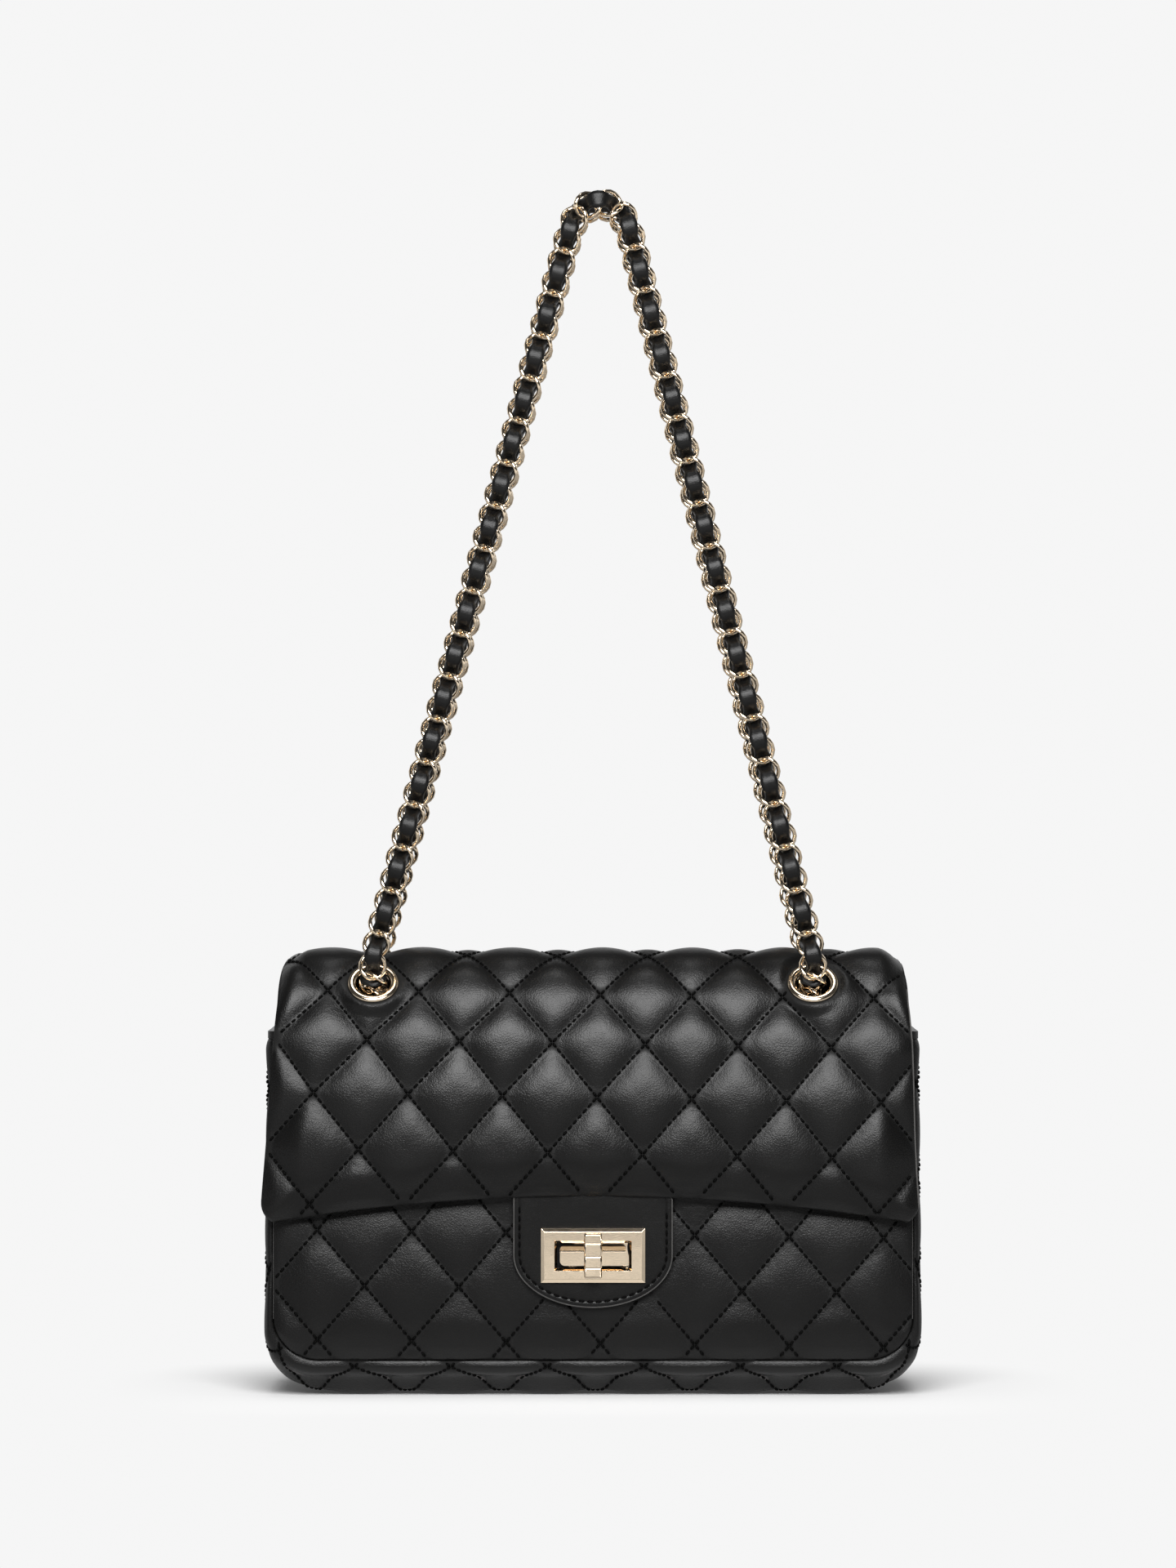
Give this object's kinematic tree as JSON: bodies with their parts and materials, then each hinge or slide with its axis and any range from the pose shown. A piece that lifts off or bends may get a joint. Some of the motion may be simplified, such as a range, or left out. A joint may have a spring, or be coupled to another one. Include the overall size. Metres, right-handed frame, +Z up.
{
  "type": "shoulder bag",
  "caption": "Quilted leather shoulder bag with a flap, turn lock, eyelets and a chain strap laced with leather, standing with its strap held up.",
  "frame": {"origin": "centre of the base, on the surface that the bag stands on", "axes": "+Z up, +X to the right as seen from the front, +Y towards the back"},
  "size_m": [0.2538, 0.0758, 0.4601],
  "materials": {
    "quilted_leather": "satin",
    "smooth_leather": "satin",
    "lining": "matte",
    "board": "matte",
    "gold_metal": "polished"
  },
  "bodies": {
    "bag": {"gusset_band": "quilted_leather", "front_panel": "quilted_leather", "back_panel": "quilted_leather", "base_board": "board", "front_board": "board", "back_board": "board", "body_lining": "lining", "mouth_binding": "quilted_leather", "zip_tape": "lining", "zip_teeth": "gold_metal", "rear_eyelet_left": "gold_metal", "rear_eyelet_right": "gold_metal", "rear_washers": "gold_metal", "rear_eyelet_links": "gold_metal", "inner_chain_left": "gold_metal", "inner_chain_right": "gold_metal", "lock_base_plate": "gold_metal", "lock_prongs": "gold_metal", "lock_clamp_plate": "gold_metal", "knob_spring": "gold_metal"},
    "zip_slider": {"zip_slider": "gold_metal"},
    "zip_puller": {"zip_puller": "gold_metal"},
    "knob": {"knob_bar": "gold_metal", "knob_post": "gold_metal"},
    "flap": {"flap_leather": "quilted_leather", "flap_wadding": "lining", "flap_lining": "lining", "flap_fold": "quilted_leather", "front_eyelet_left": "gold_metal", "front_eyelet_right": "gold_metal", "front_washers": "gold_metal", "front_eyelet_links": "gold_metal", "tab_tail": "smooth_leather", "lock_tab": "smooth_leather", "lock_frame": "gold_metal", "lock_frame_back": "gold_metal", "lock_frame_rivets": "gold_metal"},
    "front_lead": {"front_lead_links": "gold_metal"},
    "front_strap": {"front_strap_links_left": "gold_metal", "front_strap_links_apex": "gold_metal", "front_strap_links_right": "gold_metal", "front_strap_lace": "smooth_leather"},
    "rear_strap": {"rear_strap_links_left": "gold_metal", "rear_strap_links_apex": "gold_metal", "rear_strap_links_right": "gold_metal", "rear_strap_lace": "smooth_leather"}
  },
  "joints": [
    {"name": "flap_hinge", "type": "hinge", "parent": "bag", "child": "flap", "pos_m": [0, 0.01101, 0.16258], "axis": [-1, 0, 0], "range_deg": [0, 80]},
    {"name": "front_lead_follow", "type": "hinge", "parent": "flap", "child": "front_lead", "pos_m": [0, -0.03237, 0.16067], "axis": [-1, 0, 0], "range_deg": [-88, 0]},
    {"name": "front_strap_swing", "type": "hinge", "parent": "front_lead", "child": "front_strap", "pos_m": [0, -0.03197, 0.16696], "axis": [-1, 0, 0], "range_deg": [-90, 0]},
    {"name": "rear_strap_swing", "type": "hinge", "parent": "bag", "child": "rear_strap", "pos_m": [0, 0.02669, 0.16784], "axis": [-1, 0, 0], "range_deg": [0, 95]},
    {"name": "knob_turn", "type": "hinge", "parent": "bag", "child": "knob", "pos_m": [0, -0.0315, 0.0545], "axis": [0, 1, 0], "range_deg": [0, 90]},
    {"name": "zip_slide", "type": "slide", "parent": "bag", "child": "zip_slider", "axis": [1, 0, 0], "range_m": [-0.06, 0.06]},
    {"name": "puller_swing", "type": "hinge", "parent": "zip_slider", "child": "zip_puller", "pos_m": [0, 0.02185, 0.106], "axis": [-1, 0, 0], "range_deg": [0, 120]}
  ],
  "couplings": [
    {"joint": "front_lead_follow", "follows": "flap_hinge", "ratio": -1.1}
  ]
}
